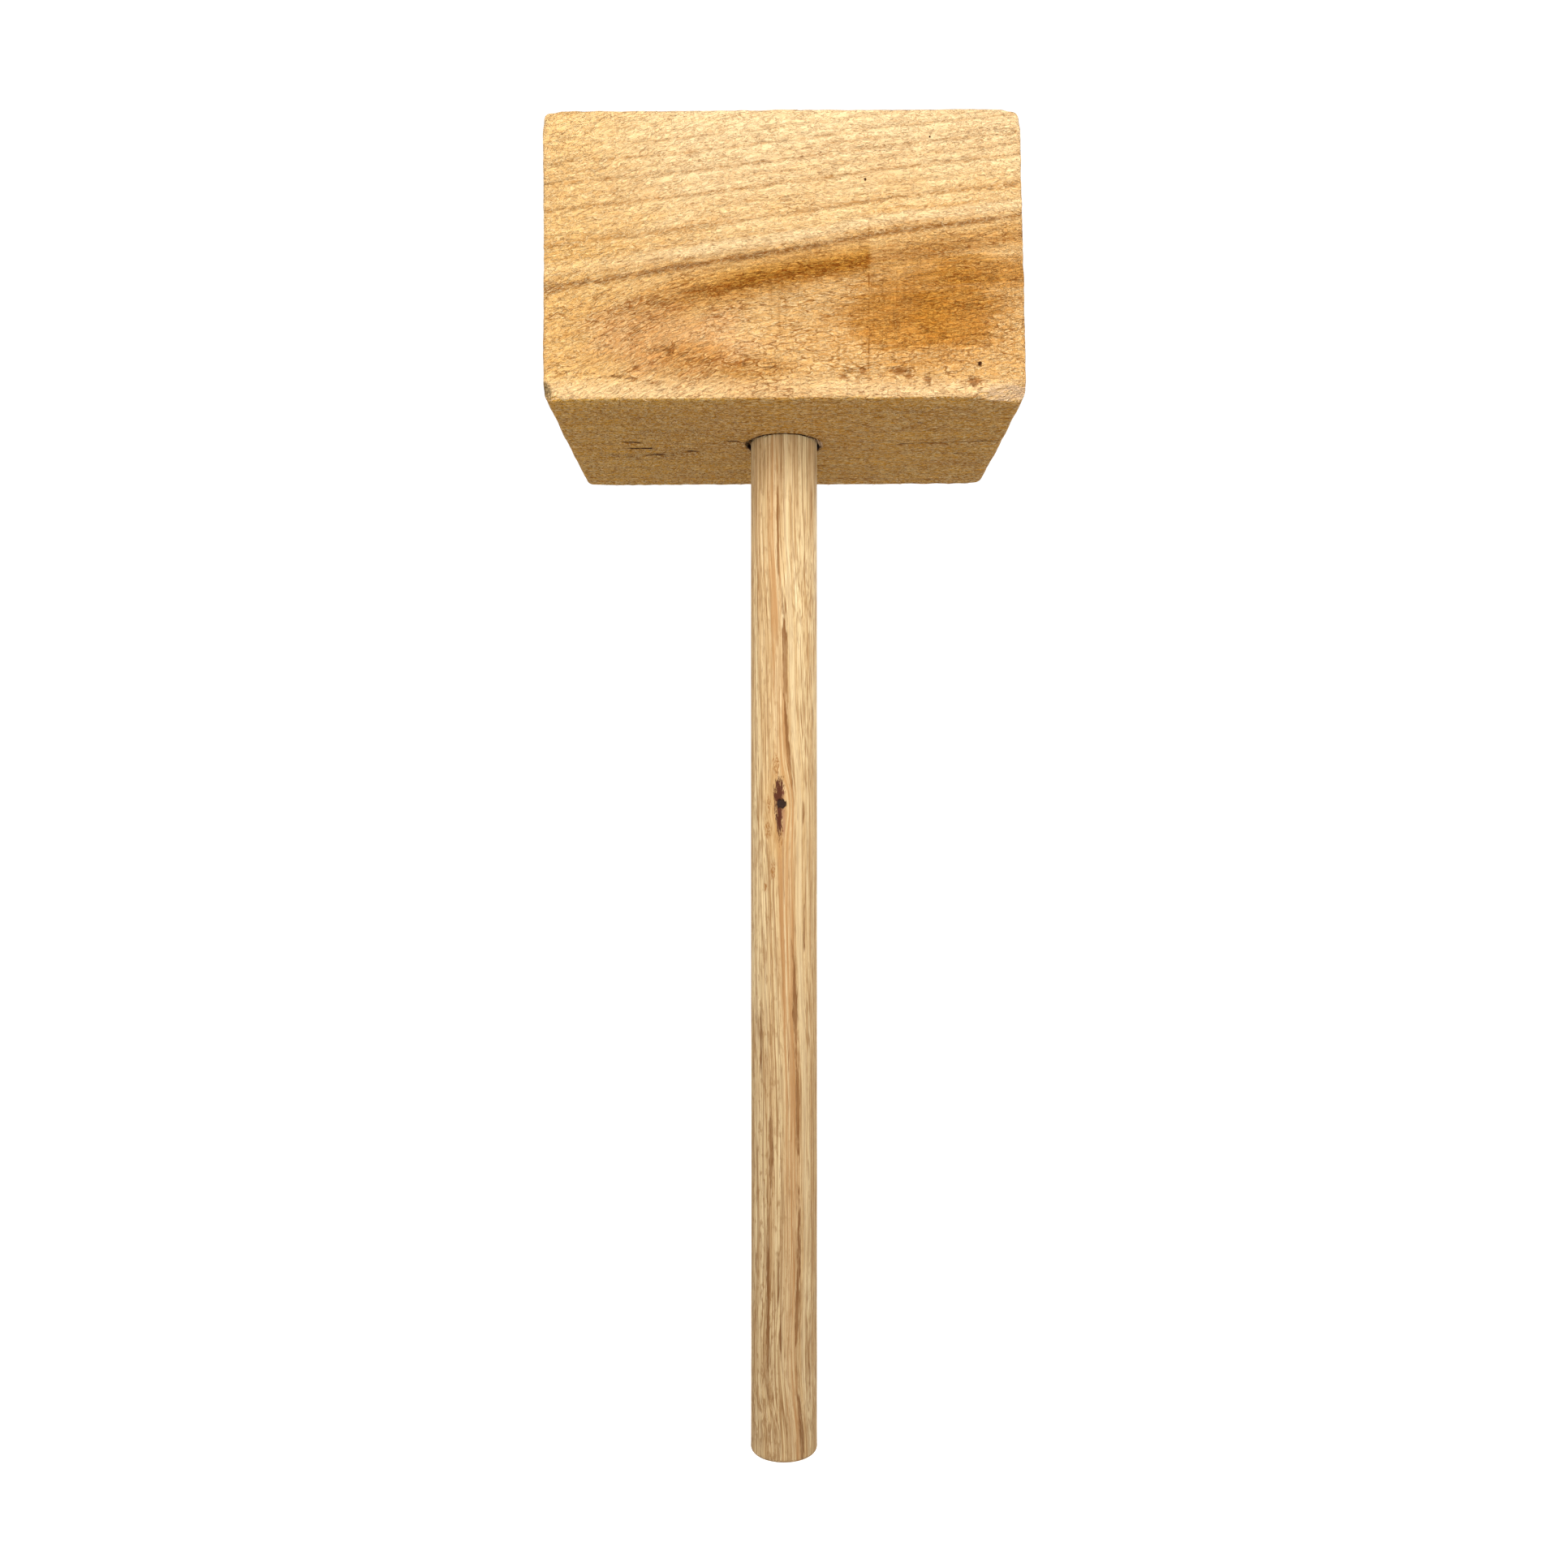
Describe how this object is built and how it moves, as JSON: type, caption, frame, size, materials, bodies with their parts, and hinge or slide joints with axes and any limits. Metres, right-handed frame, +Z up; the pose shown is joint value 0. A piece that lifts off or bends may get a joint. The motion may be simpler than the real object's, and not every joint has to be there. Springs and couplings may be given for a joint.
{
  "type": "wooden mallet",
  "caption": "Heavy wooden mallet: a rough-sawn rectangular block head on a long round handle, wedged through the head.",
  "frame": {"origin": "centre of the handle's butt end", "axes": "+Z runs up the handle to the head; +X runs along the head, from one striking face to the other; +Y is the head's depth"},
  "size_m": [0.2, 0.12, 0.588],
  "materials": {
    "head_wood": "raw, rough-sawn, matte",
    "handle_wood": "raw, planed smooth, matte",
    "wedge_wood": "raw, split hardwood, matte"
  },
  "bodies": {
    "root": {"head": "head_wood", "handle": "handle_wood", "wedge": "wedge_wood"}
  },
  "joints": []
}
